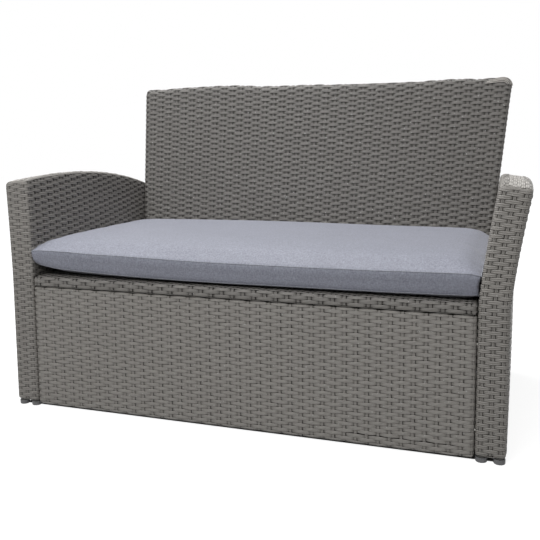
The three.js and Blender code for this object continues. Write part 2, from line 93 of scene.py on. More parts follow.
WRAP_RADIUS = 9.0
SLIMMER = 0.8               # front panel and seat on each side

# The woven strand
ROW_PITCH = 7.9             # from one weaver to the next
OVER_WIDTH = 8.5            # strand where it lies over an upright
UNDER_WIDTH = 6.2           # strand where it dives under one
GIVE = 0.3                  # how far an upright is pushed in and out
MIDDLE_DEPTH = 0.4          # middle of the weave under the panel's outer face
# how deep lies the dark sheet that stands for the shade inside a panel
SHADE_SHEET_DEPTH = 3.45
UPRIGHT_DEPTH = 0.15        # middle of an upright under the middle of the weave
UPRIGHT_GAP = 26.0          # from upright to upright, where no ring sets it
# A weaver between the upright it dives under and the next, which it rides over:
# how far from the first (millimetres, then shares of the way), how far out it
# lies, its width, and how much shade is painted on its lower and upper edges
TIGHT = np.array([
    [0, 3.4, 3.6, 4.15, 0.34, 0.62, 1.0],
    [-2.7, -2.6, -1.4, -0.1, 0.5, 0.95, 1.1],
    [0, 0, 0.05, 0.15, 0.5, 0.88, 1.0],
    [1, 1, 0.7, 0.25, 0.12, 0.04, 0],
    [1, 1, 0.8, 0.35, 0.25, 0.08, 0]])
SNUG = np.array([
    [0, 3.2, 3.7, 4.6, 0.40, 0.68, 1.0],
    [-2.3, -2.2, -1.3, 0.0, 0.55, 0.95, 1.05],
    [0, 0, 0.1, 0.25, 0.6, 0.93, 1.0],
    [0.8, 0.7, 0.5, 0.25, 0.05, 0, 0],
    [0.8, 0.7, 0.6, 0.35, 0.12, 0, 0]])
LOOSE = np.array([
    [0, 3.8, 5.8, 9.5, 0.56, 0.8, 1.0],
    [-2.7, -2.5, -1.6, -0.6, 0.5, 1.0, 1.15],
    [0, 0, 0.2, 0.62, 0.92, 1.0, 1.0],
    [1, 0.75, 0.2, 0.0, 0.0, 0, 0],
    [1, 1, 1, 0.8, 0.1, 0, 0]])
# An upright's width and how far it is pulled to the left, and the shade painted on it:
# low and high on a patch that shows, where it is covered, and at its edges
TIGHT_UPRIGHT = np.array([6.5, 0.35, 0.0, 0.3, 0.6, 0.35])
SNUG_UPRIGHT = np.array([6.2, 0.0, 0.15, 0.4, 0.5, 0.2])
LOOSE_UPRIGHT = np.array([7.8, 0.0, 0.0, 0.75, 0.8, 0.25])
STEPS = 6                   # faces along a weaver between two uprights
NEAR_STEPS = 4              # how many of its places are given in millimetres
TUBE_SIDES = 8              # faces round a round strand
# Points across a strand as shares of its width, and how deep each of them lies
ACROSS = np.array([-0.5, -0.3, 0.3, 0.5])
EDGE_FALL = np.array([0.5, 0.03, 0.03, 0.5])
UPRIGHT_ACROSS = np.array([-0.5, -0.32, 0.32, 0.5])
UPRIGHT_FALL = np.array([0.5, 0.05, 0.05, 0.5])
# A weaver strays up and down in a slow and a quick wave: how far, over how many uprights
SLOW_STRAY, SLOW_RUN = 0.22, 7
QUICK_STRAY, QUICK_RUN = 0.16, 3
TIGHTNESS = 0.16            # how much tighter one turn of it lies than another
TWIST = 0.2                 # how far its edges turn in and out
SWAY = 0.3                  # how far an upright strays to its sides
EDGE_PAINTED_SHADE = 0.25            # painted shadow along a weaver's edges
LEE_PAINTED_SHADE = 0.6              # share of its painted shadow past an upright, in a tight weave
SLIT_REACH = 1.8            # rows over which a slit between two rows dies away
# A strand's shade comes from its number, counted on from these
UPRIGHT_NUMBER, BINDING_NUMBER = 300, 700
WIDTH_SHARE = 0.98          # how much of one number's span a strand takes up


def eased(share):
    """A share from 0 to 1 with a soft start and end"""
    return share * share * (3 - 2 * share)


def soft(z):
    """Share of the arm's lean that it has at a height"""
    share = np.maximum(0, (z - FLARE_START) / (ARM_CROWN - FLARE_START))
    return share ** FLARE_POWER


def arm_lean(y, z):
    """How far out the arm's inner face stands at a place deep and a height"""
    return soft(z) * (ARM_FLARE_FRONT + (ARM_FLARE_BACK - ARM_FLARE_FRONT)
                      * np.clip(y / ARM_DEPTH, 0, 1))


def arm_top(y):
    """Height of the arm's arch at a place deep"""
    share = (y - ARM_CROWN_PLACE) / (ARM_DEPTH - ARM_CROWN_PLACE)
    return ARM_CROWN - ARM_DROP * share * share


def spread_at(z):
    """How much wider each half of the back is at a height"""
    return SPREAD_RATIO * np.maximum(0, z - SPREAD_START)


def recline_at(z):
    """How far the back leans to the rear at a height"""
    past = np.maximum(0, z - (RECLINE_START - RECLINE_RUN / 2))
    bend = RECLINE_RATIO * past * past / (2 * RECLINE_RUN)
    return np.where(past < RECLINE_RUN, bend, RECLINE_RATIO * (past - RECLINE_RUN / 2))


def arm_place(across, y, z):
    """A point of the right arm, leaned out and swept back as its frame is"""
    lean = soft(z)
    share = np.clip(y / ARM_DEPTH, 0, 1)
    rear = np.maximum(spread_at(z), ARM_FLARE_BACK * lean)
    flare = ARM_FLARE_FRONT * lean * (1 - share) + rear * share
    up = np.clip((z - ARM_HEM) / (ARM_CROWN - ARM_HEM), 0, 1)
    belly = ARM_BELLY * np.sin(pi * share) * np.sqrt(np.sin(pi * up))
    outer = np.clip(across / ARM_THICK, 0, 1)
    x = SEAT_HALF + flare + across * (1 + ARM_WIDEN / ARM_THICK * lean) + belly * outer
    fall = ARM_TILT * lean * (across - ARM_TILT_PLACE)
    return x, y + ARM_SWEEP * lean * (1 - share ** 4), z - fall


def metres(x, y, z):
    """Points of the shared frame, from millimetres with y counted from the front"""
    return np.stack([x * mm, y * mm + FRONT_PLANE, z * mm], -1)


class Ring:
    """Rounded oblong seen from above, by the length along it from the middle of
    its rear, with its uprights: one at each corner and the rest between them, or
    none at the corners where a pitch is given for those of the front"""

    def __init__(self, half, deep, radius, front_uprights, side_uprights, pitch=None):
        self.half, self.deep, self.radius = half, deep / 2, radius
        wide, side, turn = 2 * (half - radius), deep - 2 * radius, pi * radius / 2
        runs = [wide / 2, turn, side, turn, wide, turn, side, turn, wide / 2]
        self.marks = np.concatenate([[0], np.cumsum(runs)])
        self.length = self.marks[-1]
        corners = [(self.marks[i] + self.marks[i + 1]) / 2 for i in (1, 3, 5, 7)]
        corners.append(corners[0] + self.length)
        places = []
        for i, between in enumerate((side_uprights, front_uprights) * 2):
            if pitch is None:
                places.extend(np.linspace(corners[i], corners[i + 1], between + 2)[:-1])
                continue
            middle, reach = (corners[i] + corners[i + 1]) / 2, pitch * (between - 1) / 2
            if i % 2 == 0:
                reach = self.deep - radius - 4
            places.extend(np.linspace(middle - reach, middle + reach, between))
        self.count = len(places)
        self.stops = np.append(places, places[0] + self.length)
        self.gaps = np.diff(self.stops)

    def along(self, turns):
        """Length along the ring at a count of uprights"""
        return np.interp(turns, np.arange(self.count + 1), self.stops)

    def at(self, s, inset):
        """Place across and deep, drawn in from the outer face by inset"""
        s = np.mod(s, self.length)
        run = np.clip(np.searchsorted(self.marks, s, side="right") - 1, 0, 8)
        share = (s - self.marks[run]) / (self.marks[run + 1] - self.marks[run])
        round_ = np.maximum(self.radius - inset, 0.05)
        wide = self.half - inset - round_
        deep = self.deep - inset - round_
        far_x, far_y = wide + round_, deep + round_
        # From the middle of the rear leftwards, and round by the front
        straight = [run == i for i in (0, 2, 4, 6, 8)]
        x = np.select(straight, [-wide * share, -far_x, wide * (2 * share - 1), far_x,
                                 wide * (1 - share)])
        y = np.select(straight, [far_y, deep * (1 - 2 * share), -far_y,
                                 deep * (2 * share - 1), far_y])
        for i, (cx, cy) in enumerate(((-1, 1), (-1, -1), (1, -1), (1, 1))):
            here = run == 2 * i + 1
            a = pi / 2 * (1 + share) + i * pi / 2
            x = np.where(here, cx * wide + round_ * np.cos(a), x)
            y = np.where(here, cy * deep + round_ * np.sin(a), y)
        return x, y


class Profile:
    """Height and inset of a panel's skin by the length from the middle of its
    underside: a flat strip, a curl, the upright face and a curl over the top"""

    def __init__(self, low, high, low_round, low_flat, high_round):
        self.low, self.high = low, high
        self.low_round, self.high_round = low_round, high_round
        upright = high - low - low_round - high_round
        runs = [low_flat, pi / 2 * low_round, upright, pi / 2 * high_round]
        self.marks = np.concatenate([[0], np.cumsum(runs)])
        self.length = self.marks[-1]

    def at(self, t, out):
        flat, curl, rise, _ = self.marks[1:]
        low, top = self.low_round, self.high_round
        angle = np.clip((t - flat) / low - pi / 2, -pi / 2, 0)
        inset = low - (low + out) * np.cos(angle) + np.maximum(0, flat - t)
        z = self.low + low + (low + out) * np.sin(angle) + np.maximum(0, t - curl)
        if top:
            over = np.clip((t - rise) / top, 0, None)
            inset = np.where(t > rise, top - (top + out) * np.cos(over), inset)
            z = np.where(t > rise, self.high - top + (top + out) * np.sin(over), z)
        return inset, z


def grid(columns, rows):
    """A flat grid of points, with each point's column and row"""
    bm = bmesh.new()
    bmesh.ops.create_grid(bm, x_segments=columns - 1, y_segments=rows - 1, size=1)
    index = np.arange(len(bm.verts))
    return bm, index % columns, index // columns


def ribbons(count, steps, across):
    """Flat ribbons side by side, each with so many points across"""
    bm, step, row = grid(steps + 1, across * count)
    between = [f for i, f in enumerate(bm.faces) if (i // steps) % across == across - 1]
    bmesh.ops.delete(bm, geom=between, context="FACES")
    return bm, row // across, row % across, step


def in_row(values):
    """Values for a mesh, all in one row"""
    return np.ascontiguousarray(values, dtype=np.float32).ravel()


def opened(mesh):
    """A bmesh of a mesh"""
    bm = bmesh.new()
    bm.from_mesh(mesh)
    return bm


def written(bm, mesh):
    """The mesh with a bmesh's faces written to it"""
    bm.to_mesh(mesh)
    bm.free()
    return mesh


def placed(name, data):
    """An object of its own in the scene"""
    made = bpy.data.objects.new(name, data)
    bpy.context.scene.collection.objects.link(made)
    return made


def finish_mesh(name, bm, points, uv, material, keep=None, close=False, mirrored=False,
                painted_shade=None):
    """The mesh of a bmesh whose points have been worked out, smooth and in place"""
    mesh = written(bm, bpy.data.meshes.new(name))
    mesh.vertices.foreach_set("co", in_row(points))
    if painted_shade is not None:
        shade = mesh.attributes.new("painted_shade", "FLOAT", "POINT")
        shade.data.foreach_set("value", in_row(painted_shade))
    layer = mesh.uv_layers.new(name="strand")
    corner = np.zeros(len(mesh.loops), dtype=np.int32)
    mesh.loops.foreach_get("vertex_index", corner)
    layer.uv.foreach_set("vector", in_row(uv[corner]))
    if keep is not None or close or mirrored:
        bm = opened(mesh)
        if keep is not None:
            gone = [v for v, stays in zip(bm.verts, keep) if not stays]
            bmesh.ops.delete(bm, geom=gone, context="VERTS")
        if close:
            bmesh.ops.remove_doubles(bm, verts=bm.verts, dist=1e-6)
        if mirrored:
            bmesh.ops.scale(bm, vec=(-1, 1, 1), verts=bm.verts)
            bmesh.ops.reverse_faces(bm, faces=bm.faces)
        written(bm, mesh)
    mesh.polygons.foreach_set("use_smooth", np.ones(len(mesh.polygons), dtype=bool))
    mesh.materials.append(material)
    return placed(name, mesh)


def weavers(name, place, rows, turns, closed, rng, material, mirrored, pitch, row_from, dive,
            gaps, lee, split):
    """Strands that run from upright to upright, over one and under the next"""
    bm, strand, point, step = ribbons(len(rows), turns * STEPS, len(ACROSS))
    side, number = ACROSS[point], strand + row_from
    base, part = step // STEPS, step % STEPS
    rising = (base + number) % 2 == 1
    stage_ = np.where(rising, part, STEPS - part)
    gap = np.append(gaps, gaps[:1])[base] if np.ndim(gaps) else gaps

    def at(row):
        if dive.ndim == 2:
            return dive[row][stage_]
        return dive[base % len(dive), row, stage_]

    # Where uprights stand close, the places given in millimetres draw together
    near = stage_ < NEAR_STEPS
    shares = np.minimum(at(0) / np.where(near, gap, 1.0),
                        np.where(near, 0.12 * stage_ + 0.08, 1.0))
    share = np.where(rising, shares, np.where(part == 0, 0.0, 1 - shares))
    turn = base + share
    pull = rng.random((len(rows), turns + 1))[strand, np.minimum(base, turns)]
    tight = 1 + TIGHTNESS * (pull - 0.5)
    width = UNDER_WIDTH + (OVER_WIDTH - UNDER_WIDTH) * at(2)
    waver = rng.random((len(rows), 3)) * 2 * pi
    # On a ring each wave comes out whole, so that its ends meet
    slow, quick = (2 * pi / turns * round(turns / run) if closed else 2 * pi / run
                   for run in (SLOW_RUN, QUICK_RUN))
    wobble = SLOW_STRAY * np.sin(turn * slow + waver[strand, 0])
    wobble += QUICK_STRAY * np.sin(turn * quick + waver[strand, 1])
    t = np.asarray(rows)[strand] + wobble + side * width * pitch / ROW_PITCH
    if split:
        # Two rows stand apart here, so that dark slits show between them
        row, first, last = split
        wide = np.exp(-((2 * turn - first - last) / (last - first)) ** 6)
        t += (np.where(number < row, -1, 1) * wide
              * np.exp(-np.abs(number + 0.5 - row) / SLIT_REACH))
    out = at(1)
    out = np.where(out > 0, out * tight, out) - EDGE_FALL[point] - MIDDLE_DEPTH
    out -= TWIST * side * np.sin(waver[strand, 2] + turn * slow * 2)
    # Painted shade where the weaver dives and along its edges, less of it past an upright in a
    # tight weave
    painted_shade = np.where(side > 0, at(4), at(3)) * np.where(rising, 1.0, lee)
    painted_shade = np.clip(painted_shade + EDGE_PAINTED_SHADE * (np.abs(side) > 0.4), 0, 1)
    points, length, keep = place(turn, t, out)
    uv = np.stack([length * mm, number + 0.5 + side * WIDTH_SHARE], -1)
    return finish_mesh(name, bm, points, uv, material, keep, closed, mirrored, painted_shade)


def uprights(name, place, rows, pitch, length, turns, rng, material, mirrored, kind):
    """Strands that run up the panel, crossed by the weavers"""
    levels = np.sort(np.concatenate([[0], rows - 0.25 * pitch, rows + 0.3 * pitch, [length]]))
    bm, strand, point, step = ribbons(len(turns), len(levels) - 1, len(UPRIGHT_ACROSS))
    across, level = UPRIGHT_ACROSS[point], levels[step]
    row, upper = (step - 1) // 2, (step - 1) % 2 == 1
    sway = SWAY * np.sin(level * 0.05 + (rng.random(len(turns)) * 2 * pi)[strand])
    turn = np.asarray(turns)[strand]
    # Over this row's weaver where the weaver dives, and under it at the next
    over = (turn + row) % 2 == 1
    out = np.where(over, GIVE, -GIVE) - UPRIGHT_FALL[point] - MIDDLE_DEPTH - UPRIGHT_DEPTH
    wide, pull, low, high, covered, edge = kind if kind.ndim == 1 else kind[turn].T
    # Strands run up, so the ribbon's width goes against the ring's direction
    points, _, keep = place(turn, level, out, -(across * wide + sway + pull))
    # Painted shade on an upright: low and high on a patch that shows, where a weaver covers it,
    # and at its edges
    painted_shade = np.where(over, np.where(upper, high, low), covered)
    painted_shade = np.clip(painted_shade + edge * (np.abs(across) > 0.4), 0, 1)
    uv = np.stack([level * mm, strand + UPRIGHT_NUMBER + 0.5 + across * WIDTH_SHARE], -1)
    return finish_mesh(name, bm, points, uv, material, keep, False, mirrored, painted_shade)


def shade_sheet(name, place, levels, turns, closed, material, mirrored):
    """Dark sheet painted as the shade inside the weave, which closes the view through it"""
    bm, column, row = grid(len(turns), len(levels))
    level = levels[row]
    points, length, keep = place(turns[column], level, np.full(len(row), -SHADE_SHEET_DEPTH))
    uv = np.stack([length * mm, level * mm], -1)
    return finish_mesh(name, bm, points, uv, material, keep, closed, mirrored)


def ring_panel(name, node, ring, profile, warp, rng, bands, finishes, pitch, dive=TIGHT,
               kind=TIGHT_UPRIGHT, split=None):
    """A woven panel that closes on itself all round"""
    def place(turn, t, out, side=0.0):
        inset, z = profile.at(t, out)
        s = ring.along(turn) + side
        a, b = ring.at(s, inset)
        x, y, z = warp(a, b, z)
        return metres(x, y, z), s, None

    woven(name, node, place, profile.length, ring.count, True, rng, bands, finishes, pitch,
          dive, kind, gaps=ring.gaps, split=split)


def woven(name, node, place, length, turns, closed, rng, bands, finishes, pitch, dive, kind,
          mirrored=False, gaps=UPRIGHT_GAP, split=None):
    """Weavers in bands, uprights and a dark sheet painted as shade over one form"""
    count = round(length / pitch)
    pitch = length / count
    rows = (np.arange(count) + 0.5) * length / count
    # The second finish is the dark sheet painted as the shade inside
    wicker, dark = finishes
    lee = LEE_PAINTED_SHADE if kind is TIGHT_UPRIGHT else 1.0
    parts = [weavers(f"{name}_weavers_{i + 1}", place, rows[band], turns, closed, rng, wicker,
                     mirrored, pitch, int(band[0]), dive, gaps, lee, split)
             for i, band in enumerate(np.array_split(np.arange(count), bands))]
    parts.append(uprights(f"{name}_uprights", place, rows, pitch, length,
                          np.arange(0 if closed else 1, turns), rng, wicker, mirrored, kind))
    levels = np.concatenate([[0], rows, [length]])[::2]
    parts.append(shade_sheet(f"{name}_lining", place, levels, np.arange(turns * 2 + 1) / 2,
                        closed, dark, mirrored))
    for part in parts:
        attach(part, "sofa")
        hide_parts(node)


# Higher up the arm's rows turn with it: down towards its outer side and rear
ROW_TURN_FROM, ROW_TURN_TO = 250.0, 440.0
ROW_FALL_BACK = 0.135
ROW_FALL_OUT = -0.02
ARM_TUCK = 5.0              # how far its rows run on under the top's weave
ARM_ROWS_TOP = 640.0        # where they would end on an upright face
ARM_PITCH = 7.75
ARM_END_TURNS = 4           # uprights at its front and rear, with the corners
# The weave on top of the arm: how far it bends down at its sides and ends, how
# proud it stands, how much lower it lies on the inner side, and its uprights
ARM_TOP_SLANT = radians(52)
ARM_TOP_DIP = radians(38)
ARM_TOP_PROUD = 0.1
ARM_TOP_SINK = 1.4
ARM_TOP_TURNS = 26
ARM_TOP_PITCH = 7.6
# The strand round the arm's edge
BINDING_AT = radians(36)
BINDING_WIDTH = 6.4
BINDING_PROUD, BINDING_FALL = 0.8, 1.2


def arm_skin(name, node, ring, rng, finishes, mirrored):
    """The arm's front, rear and sides: rows go round it"""
    profile = Profile(ARM_HEM, ARM_ROWS_TOP, WRAP_RADIUS, ARM_THICK / 2 - WRAP_RADIUS, 0)
    r = ARM_TOP_ROUND

    def place(turn, t, out, side=0.0):
        inset, z = profile.at(t, out)
        s = ring.along(turn) + side
        a, b = ring.at(s, np.maximum(inset, 0))
        share = eased(np.clip((z - ROW_TURN_FROM) / (ROW_TURN_TO - ROW_TURN_FROM), 0, 1))
        z = z - share * (ROW_FALL_BACK * (b + ARM_DEPTH / 2) + ROW_FALL_OUT * (a + ARM_THICK / 2))
        start = arm_top(b + ARM_DEPTH / 2) - r
        past = np.maximum(0, z - start)
        bend = np.minimum(past / r, pi / 2)
        tuck = past - bend * r
        inset = inset + r * (1 - np.cos(bend)) + tuck + out * (1 - np.cos(bend))
        z = np.minimum(z, start) + (r + out * (past > 0)) * np.sin(bend)
        a, b = ring.at(s, inset)
        x, y, z = arm_place(a + ARM_THICK / 2, b + ARM_DEPTH / 2, z)
        return metres(x, y, z), s, tuck < ARM_TUCK

    # Its long sides are woven more loosely than its front and rear
    half = ring.count // 2
    side = (np.arange(ring.count) % half) < half - ARM_END_TURNS
    dive = np.where(side[:, None, None], LOOSE * 0.75 + SNUG * 0.25, SNUG)
    kind = np.where(side[:, None], LOOSE_UPRIGHT, SNUG_UPRIGHT)
    woven(name, node, place, profile.length, ring.count, True, rng, 2, finishes, ARM_PITCH,
          dive, kind, mirrored, ring.gaps)


def arm_top_strip(name, node, rng, finishes, mirrored):
    """Weave that closes the arched top: its rows run from the front to the rear"""
    r = ARM_TOP_ROUND
    slant, dip = r * ARM_TOP_SLANT, r * ARM_TOP_DIP
    span, run = ARM_THICK - 2 * r, ARM_DEPTH - 2 * r
    wide, long_ = 2 * slant + span, 2 * dip + run

    def bent(at, curl, flat):
        core = r + np.clip(at - curl, 0, flat)
        return core, np.minimum((at - curl) / r, 0) + np.maximum((at - curl - flat) / r, 0)

    def place(turn, t, out, side=0.0):
        s = turn / ARM_TOP_TURNS * long_ + side
        # Rows are counted from the outer edge, so that the faces look up
        across, tilt = bent(wide - t, slant, span)
        y, lean = bent(s, dip, run)
        far = r + out + ARM_TOP_PROUD
        far = far - ARM_TOP_SINK * np.clip(1 - across / ARM_THICK, 0, 1)
        x, y, z = arm_place(across + far * np.sin(tilt), y + far * np.sin(lean) * np.cos(tilt),
                            arm_top(y) - r + far * np.cos(tilt) * np.cos(lean))
        return metres(x, y, z), s, None

    woven(name, node, place, wide, ARM_TOP_TURNS, False, rng, 1, finishes, ARM_TOP_PITCH,
          SNUG, SNUG_UPRIGHT, mirrored)


def arm_binding(name, node, ring, material, mirrored):
    """Strand laid round the arm where its sides meet its top"""
    r = ARM_TOP_ROUND
    steps = ring.count * 3
    bm, strand, point, step = ribbons(1, steps, 5)
    across = np.array([-0.5, -0.3, 0.0, 0.3, 0.5])[point]
    s = ring.along(step / 3)
    a, b = ring.at(s, 0.0)
    out = BINDING_PROUD - BINDING_FALL * (np.abs(across) > 0.4)
    bend = BINDING_AT + across * BINDING_WIDTH / r
    shrink = r * (1 - np.cos(bend)) - out * np.cos(bend)
    z = arm_top(b + ARM_DEPTH / 2) - r + (r + out) * np.sin(bend)
    a, b = ring.at(s, np.maximum(shrink, 0))
    x, y, z = arm_place(a + ARM_THICK / 2, b + ARM_DEPTH / 2, z)
    uv = np.stack([s * mm, BINDING_NUMBER + 0.5 + across * WIDTH_SHARE], -1)
    # Painted shade on the binding's edges, the lower one darker
    painted_edge_shade = np.where(across < -0.4, 0.9, np.where(across > 0.4, 0.5, 0.0))
    piece = finish_mesh(name, bm, metres(x, y, z), uv, material, None, True, mirrored, painted_edge_shade)
    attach(piece, "sofa")
    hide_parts(node)


SEAT_DEEP = 565.8
# How round it is over the rail, under it and at its ends
SEAT_CURL, SEAT_LOW_CURL, SEAT_END_CURL = 7.5, 4.5, 7.0
SEAT_LIP = 12.0             # how far its weave runs on under the rail,
SEAT_REAR_DROP = 6.0        # how far down at its rear
SEAT_END_DROP = 6.0         # and at its ends
SEAT_TURNS = 42
SEAT_PITCH = 8.2


def seat_strip(rng, finishes):
    """Weave of the seat: rows run across it, from the front rail's lower lip over
    the top to the rear"""
    low, top, end, drop = SEAT_LOW_CURL, SEAT_CURL, SEAT_END_CURL, SEAT_END_DROP
    rise, flat = SEAT_THICK - low - top, SEAT_DEEP - 2 * top
    marks = np.cumsum([SEAT_LIP, pi * low / 2, rise, pi * top / 2, flat, pi * top / 2])
    wide, fold = 2 * (PANEL_HALF - SLIMMER - end), pi * end / 2
    across = wide + 2 * fold + 2 * drop

    def place(turn, t, out, side=0.0):
        s = turn / SEAT_TURNS * across + side
        turned = np.clip((s - drop) / end - pi / 2, -pi / 2, 0)
        turned = turned + np.clip((s - drop - fold - wide) / end, 0, pi / 2)
        x = np.clip(s - drop - fold, 0, wide) - wide / 2
        extra = np.maximum(0, drop - s) + np.maximum(0, s - across + drop)
        x = x + (end + out) * np.sin(turned)
        out = (end + out) * np.cos(turned) - end - extra
        a = np.clip((t - marks[0]) / low, 0, pi / 2) + np.clip((t - marks[2]) / top, 0, pi / 2)
        a = a + np.clip((t - marks[4]) / top, 0, pi / 2)
        # The direction out of the form turns from down to the front, up and back
        r = np.where(t < marks[1] + rise / 2, low, top)
        cy = r + np.maximum(0, marks[0] - t) + np.clip(t - marks[3], 0, flat)
        cz = RAIL_TOP - SEAT_THICK + low + np.clip(t - marks[1], 0, rise)
        cz = cz - np.maximum(0, t - marks[5])
        return metres(x, cy - (r + out) * np.sin(a), cz - (r + out) * np.cos(a)), s, None

    woven("seat", "seat_weave", place, marks[-1] + SEAT_REAR_DROP, SEAT_TURNS, False, rng, 1,
          finishes, SEAT_PITCH, (LOOSE + TIGHT) / 2, (LOOSE_UPRIGHT + TIGHT_UPRIGHT) / 2)


# Front edges of the cushion's band, by the place across, in millimetres
BAND_LOW = ((-536, 374), (-526, 367), (-511, 358), (-463, 350), (-370, 345), (-280, 342),
            (-150, 339), (-26, 338), (91, 339), (346, 340), (447, 341), (515, 344), (530, 345))
BAND_HIGH = ((-536, 394), (-526, 398), (-461, 396), (-368, 393), (-278, 392), (-149, 388),
             (-26, 387), (204, 387), (346, 388), (447, 390), (521, 391), (530, 389))
CUSHION_FRONT = 8.0
CUSHION_REAR = 560.0
CUSHION_FLOOR = 332.2
CUSHION_CROWN = 420.0
CUSHION_BACK_EDGE = 409.0
CUSHION_HALF = 529.0
CUSHION_FACE = 0.006        # length of its faces before they are made finer, in metres
# Its upper front edge lies above this height and in front of this depth. Each round
# of smoothing takes it in as far to the right as one of the places says, in metres
FRONT_EDGE_LOW, FRONT_EDGE_DEEP = 375.0, 16.0
FRONT_EDGE_REACH = (-0.5, -0.2, 0.1, 0.3, 0.3, 0.6)
# How the cover gives way to the pressure inside
SWELL = {"quality": 6, "mass": 0.3, "use_pressure": True, "uniform_pressure_force": 4,
         "tension_stiffness": 15, "compression_stiffness": 15, "bending_stiffness": 0.4}
SWELL_FRAMES = 20
SEAM_RADIUS = 1.1
SEAM_MOVE = 0.8             # how far it may move at a seam,
FREE_MOVE = 5.2             # how much farther away from one,
SEAM_HOLD = 0.022           # and how far a seam holds it, in metres
SEAT_PLAY, BACK_PLAY, ARM_PLAY = -0.2, 4.2, 1.8     # room to the seat, back and arms


def cushion_place(u, v, w):
    """A point of the cushion, from -1 to 1 across, front to rear and up. Its band
    stands higher at the left, where the cushion is squeezed past the arm"""
    left = np.clip(-u, 0, 1)
    right = np.clip(u, 0, 1)
    front = CUSHION_FRONT - 3 * left ** 30 + 2 * right ** 40
    rear = CUSHION_REAR - 22 * np.abs(u) ** 40
    y = front + (rear - front) * (v + 1) / 2
    x = u * CUSHION_HALF
    ahead, behind = y - front, rear - y
    low = np.interp(x, *zip(*BAND_LOW))
    high = np.interp(x, *zip(*BAND_HIGH))
    under = CUSHION_FLOOR + (low - CUSHION_FLOOR) * np.exp(-(ahead / (34 + 60 * left ** 4)) ** 1.4)
    under = under + 10 * np.exp(-behind / 9)
    over = CUSHION_CROWN - (CUSHION_CROWN - high) * np.exp(-ahead / 52)
    over = over - (CUSHION_CROWN - CUSHION_BACK_EDGE) * np.exp(-behind / 26)
    over = over - 4 * left ** 24 - 11 * right ** 34 * (1 - np.exp(-ahead / 14))
    over = over - 8 * right ** 13 * (1 - np.exp(-ahead / 30)) * (1 - np.exp(-behind / 110))
    over = over - 5 * left ** 9 * (1 - np.exp(-ahead / 200))
    over = over + 3.5 * np.exp(-((u + 0.15) / 0.5) ** 2) * (1 - np.exp(-ahead / 60))
    z = under + (over - under) * (w + 1) / 2
    # Faces draw in between the seams
    between = 1 - w * w
    swell = 5.1 * w * w - 6.1 * w + w ** 3 + 1.5 * right ** 2 * (1 - w)
    y = y + swell * (v < -0.999) - 1.5 * between * (v > 0.999)
    lean = arm_lean(y, z) * np.abs(u) ** 6
    x = x + np.sign(u) * (lean - 1.5 * between * (np.abs(u) > 0.999))
    x = x - (13 - 4 * w + 6 * between) * left ** 24 * np.exp(-ahead / 11)
    return x, y, z


def points_of(mesh):
    """A mesh's points, one in a row"""
    flat = np.zeros(len(mesh.vertices) * 3)
    mesh.vertices.foreach_get("co", flat)
    return flat.reshape(-1, 3)


def tube(name, path, radius, material, closed=True, up=(0, 0, 1)):
    """A round strand along a path, its ends joined or left open"""
    path = np.asarray(path)
    if closed:
        path = np.vstack([path, path[:1]])
        ahead = np.vstack([path[1:], path[1:2]])
        behind = np.vstack([path[-2:-1], path[:-1]])
        tangent = ahead - behind
        tangent[-1] = tangent[0]
    else:
        tangent = np.gradient(path, axis=0)
    tangent /= np.linalg.norm(tangent, axis=1)[:, None]
    side = np.cross(tangent, np.array(up, dtype=float))
    side /= np.linalg.norm(side, axis=1)[:, None]
    over = np.cross(side, tangent)
    bm, step, turn = grid(len(path), TUBE_SIDES + 1)
    angle = 2 * pi * turn / TUBE_SIDES
    points = path[step] + radius * (np.cos(angle)[:, None] * side[step]
                                    + np.sin(angle)[:, None] * over[step])
    along = np.concatenate([[0], np.cumsum(np.linalg.norm(np.diff(path, axis=0), axis=1))])
    uv = np.stack([along[step], turn / TUBE_SIDES], -1)
    piece = finish_mesh(name, bm, points, uv, material, None, True)
    bm = opened(piece.data)
    if not closed:
        bmesh.ops.holes_fill(bm, edges=bm.edges, sides=0)
    bmesh.ops.recalc_face_normals(bm, faces=bm.faces)
    written(bm, piece.data)
    return piece


